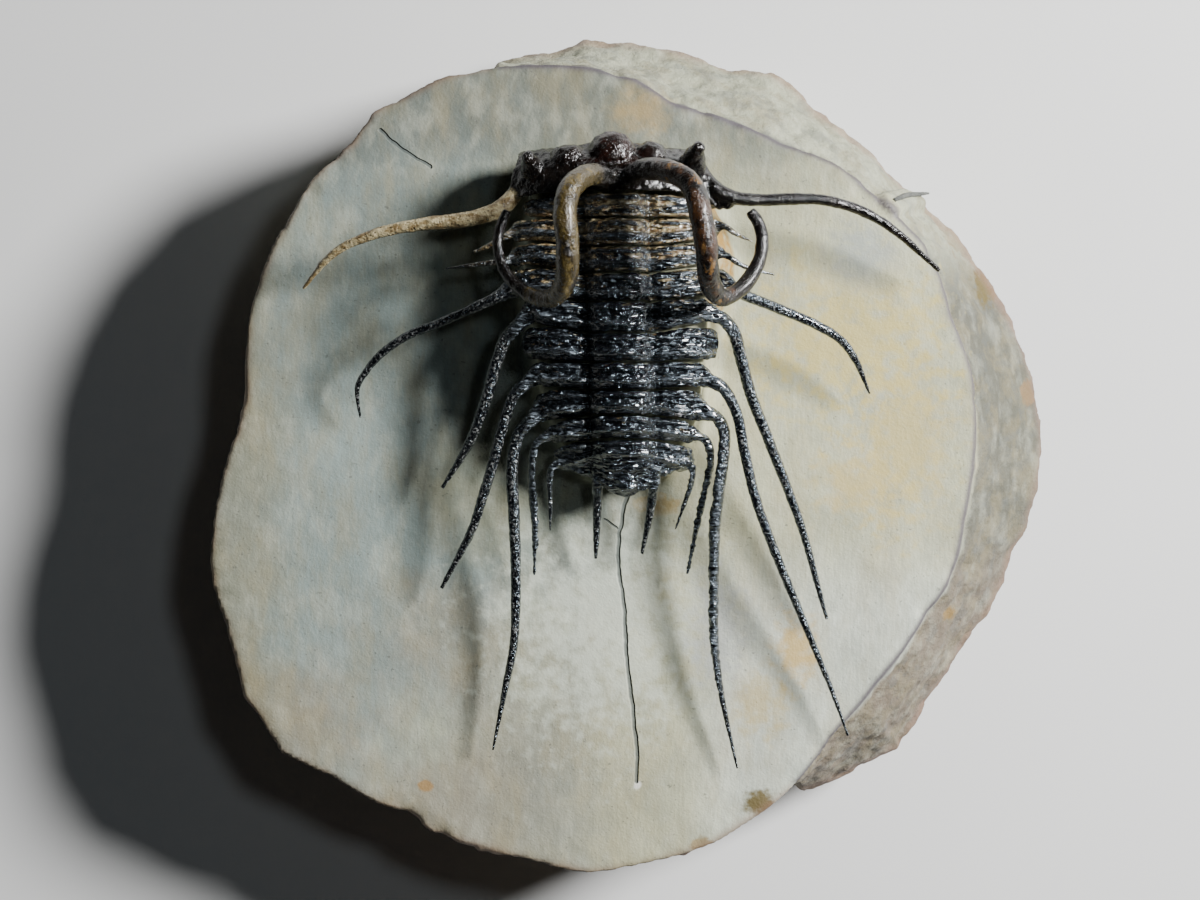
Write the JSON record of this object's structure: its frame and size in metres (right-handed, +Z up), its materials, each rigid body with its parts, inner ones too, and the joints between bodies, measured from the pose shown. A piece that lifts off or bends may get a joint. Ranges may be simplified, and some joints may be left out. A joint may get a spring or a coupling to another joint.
{
  "type": "fossil dicranurus trilobite on limestone",
  "caption": "Spiny trilobite fossil with two curled horns and long swept spines, raised on a low pedestal of its loose pale limestone matrix, lying flat.",
  "frame": {"origin": "middle of the bounding box at the stone's flat underside", "axes": "+Y from the tail towards the head, +Z up out of the stone's face, +X across to the animal's right-hand side as seen from above with the head away"},
  "size_m": [0.12, 0.1197, 0.0588],
  "materials": {
    "limestone": "matt, finely gritty, grey-green to cream with small rust and olive stains",
    "head_shell": "glossy brown-black mineralised shell with olive and rust patches",
    "body_shell": "glossy blue-black mineralised shell, finely pimpled, with tan residue in the joints"
  },
  "bodies": {
    "root": {"matrix": "limestone", "cephalon": "head_shell", "thorax_segment_1": "body_shell", "thorax_segment_2": "body_shell", "thorax_segment_3": "body_shell", "thorax_segment_4": "body_shell", "thorax_segment_5": "body_shell", "thorax_segment_6": "body_shell", "thorax_segment_7": "body_shell", "thorax_segment_8": "body_shell", "thorax_segment_9": "body_shell", "pygidium": "body_shell", "spine_fragment": "body_shell"}
  },
  "joints": []
}
